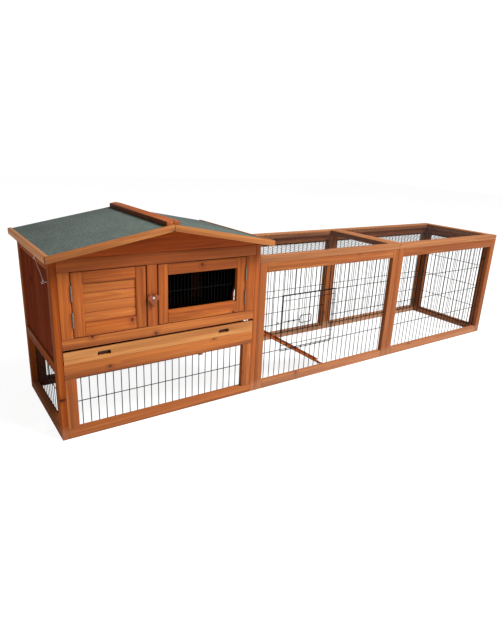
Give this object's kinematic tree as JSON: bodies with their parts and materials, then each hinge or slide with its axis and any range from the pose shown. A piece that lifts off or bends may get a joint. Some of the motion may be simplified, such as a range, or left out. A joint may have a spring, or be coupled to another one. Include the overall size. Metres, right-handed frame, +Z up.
{
  "type": "rabbit hutch with run",
  "caption": "Two-storey timber rabbit hutch with a lifting felt roof, doors, tray and ramp, joined to a long wire-mesh run with a netted top and a wire door.",
  "frame": {"origin": "middle of the bounding box's bottom, on the ground", "axes": "+X along the run away from the hutch, +Y from the front to the back, +Z up"},
  "size_m": [2.785, 0.66, 0.845],
  "materials": {
    "stained_wood": "satin stain",
    "dark_wood": "satin stain",
    "pale_wood": "satin stain",
    "black_wire": "satin black coating",
    "zinc": "zinc plated",
    "enamel": "dark brown enamel",
    "felt": "mineral-surfaced felt"
  },
  "bodies": {
    "hutch": {"left_side_frame": "stained_wood", "left_side_boards": "dark_wood", "left_side_mesh": "black_wire", "right_side_frame": "stained_wood", "right_side_boards": "dark_wood", "back_frame": "stained_wood", "back_boards": "dark_wood", "back_mesh": "black_wire", "front_posts": "stained_wood", "centre_stile": "stained_wood", "front_top_rail": "stained_wood", "front_mid_rail": "stained_wood", "lower_front_frame": "stained_wood", "lower_front_mesh": "black_wire", "inner_divider": "pale_wood", "tray_runners": "pale_wood", "wall_screw_eyes": "zinc", "roof_hinge_lower_leaves": "zinc", "door_hinge_post_leaves": "zinc", "ramp_hinge_wall_leaves": "zinc", "turn_button_screw": "zinc", "run_front_frame_1": "stained_wood", "run_front_mesh_1": "black_wire", "run_front_frame_2": "stained_wood", "run_front_mesh_2": "black_wire", "run_back_frames": "stained_wood", "run_back_meshes": "black_wire", "run_end_frame": "stained_wood", "run_end_mesh": "black_wire", "run_top_frame_1": "stained_wood", "run_top_net_1": "black_wire", "run_top_frame_2": "stained_wood", "run_top_net_2": "black_wire", "wire_door_rings": "zinc", "latch_keeper": "black_wire"},
    "roof": {"roof_decks": "pale_wood", "roof_felt": "felt", "ridge_cap": "stained_wood", "front_barge_boards": "stained_wood", "rear_barge_boards": "stained_wood", "eave_fascias": "stained_wood", "gable_boards": "dark_wood", "roof_battens": "pale_wood", "roof_hinge_upper_leaves": "zinc", "roof_screw_eyes": "zinc"},
    "left_hook": {"left_roof_hook": "zinc"},
    "right_hook": {"right_roof_hook": "zinc"},
    "left_door": {"left_door_frame": "stained_wood", "left_door_boards": "dark_wood", "left_door_hinge_leaves": "zinc"},
    "right_door": {"right_door_frame": "stained_wood", "right_door_mesh": "black_wire", "right_door_hinge_leaves": "zinc"},
    "button": {"turn_button": "stained_wood"},
    "tray": {"tray_front": "pale_wood", "tray_pan": "enamel"},
    "ramp": {"ramp": "dark_wood", "ramp_hinge_leaves": "zinc"},
    "wire_door": {"wire_door": "black_wire"},
    "latch": {"wire_door_latch": "black_wire"}
  },
  "joints": [
    {"name": "roof_lift", "type": "hinge", "parent": "hutch", "child": "roof", "pos_m": [-0.9175, 0.2933, 0.71515], "axis": [-1, 0, 0], "range_deg": [0, 70]},
    {"name": "left_hook_swing", "type": "hinge", "parent": "roof", "child": "left_hook", "pos_m": [-1.385, -0.132, 0.7048], "axis": [-1, 0, 0], "range_deg": [-3.5, 30]},
    {"name": "right_hook_swing", "type": "hinge", "parent": "roof", "child": "right_hook", "pos_m": [-0.45, -0.12, 0.7048], "axis": [-1, 0, 0], "range_deg": [-3.5, 13]},
    {"name": "left_door_swing", "type": "hinge", "parent": "hutch", "child": "left_door", "pos_m": [-1.2982, -0.2633, 0.541], "axis": [0, 0, -1], "range_deg": [0, 170]},
    {"name": "right_door_swing", "type": "hinge", "parent": "hutch", "child": "right_door", "pos_m": [-0.5428, -0.2633, 0.541], "axis": [0, 0, 1], "range_deg": [0, 170]},
    {"name": "button_turn", "type": "hinge", "parent": "hutch", "child": "button", "pos_m": [-0.9845, -0.2663, 0.53592], "axis": [0, 1, 0], "continuous": true},
    {"name": "tray_slide", "type": "slide", "parent": "hutch", "child": "tray", "axis": [0, -1, 0], "range_m": [0, 0.4]},
    {"name": "ramp_lift", "type": "hinge", "parent": "hutch", "child": "ramp", "pos_m": [-0.4642, -0.14, 0.3], "axis": [0, -1, 0], "range_deg": [0, 58]},
    {"name": "wire_door_swing", "type": "hinge", "parent": "hutch", "child": "wire_door", "pos_m": [0.03, -0.2381, 0.31], "axis": [0, 0, 1], "range_deg": [0, 170]},
    {"name": "latch_slide", "type": "slide", "parent": "wire_door", "child": "latch", "axis": [-1, 0, 0], "range_m": [0, 0.035]}
  ]
}
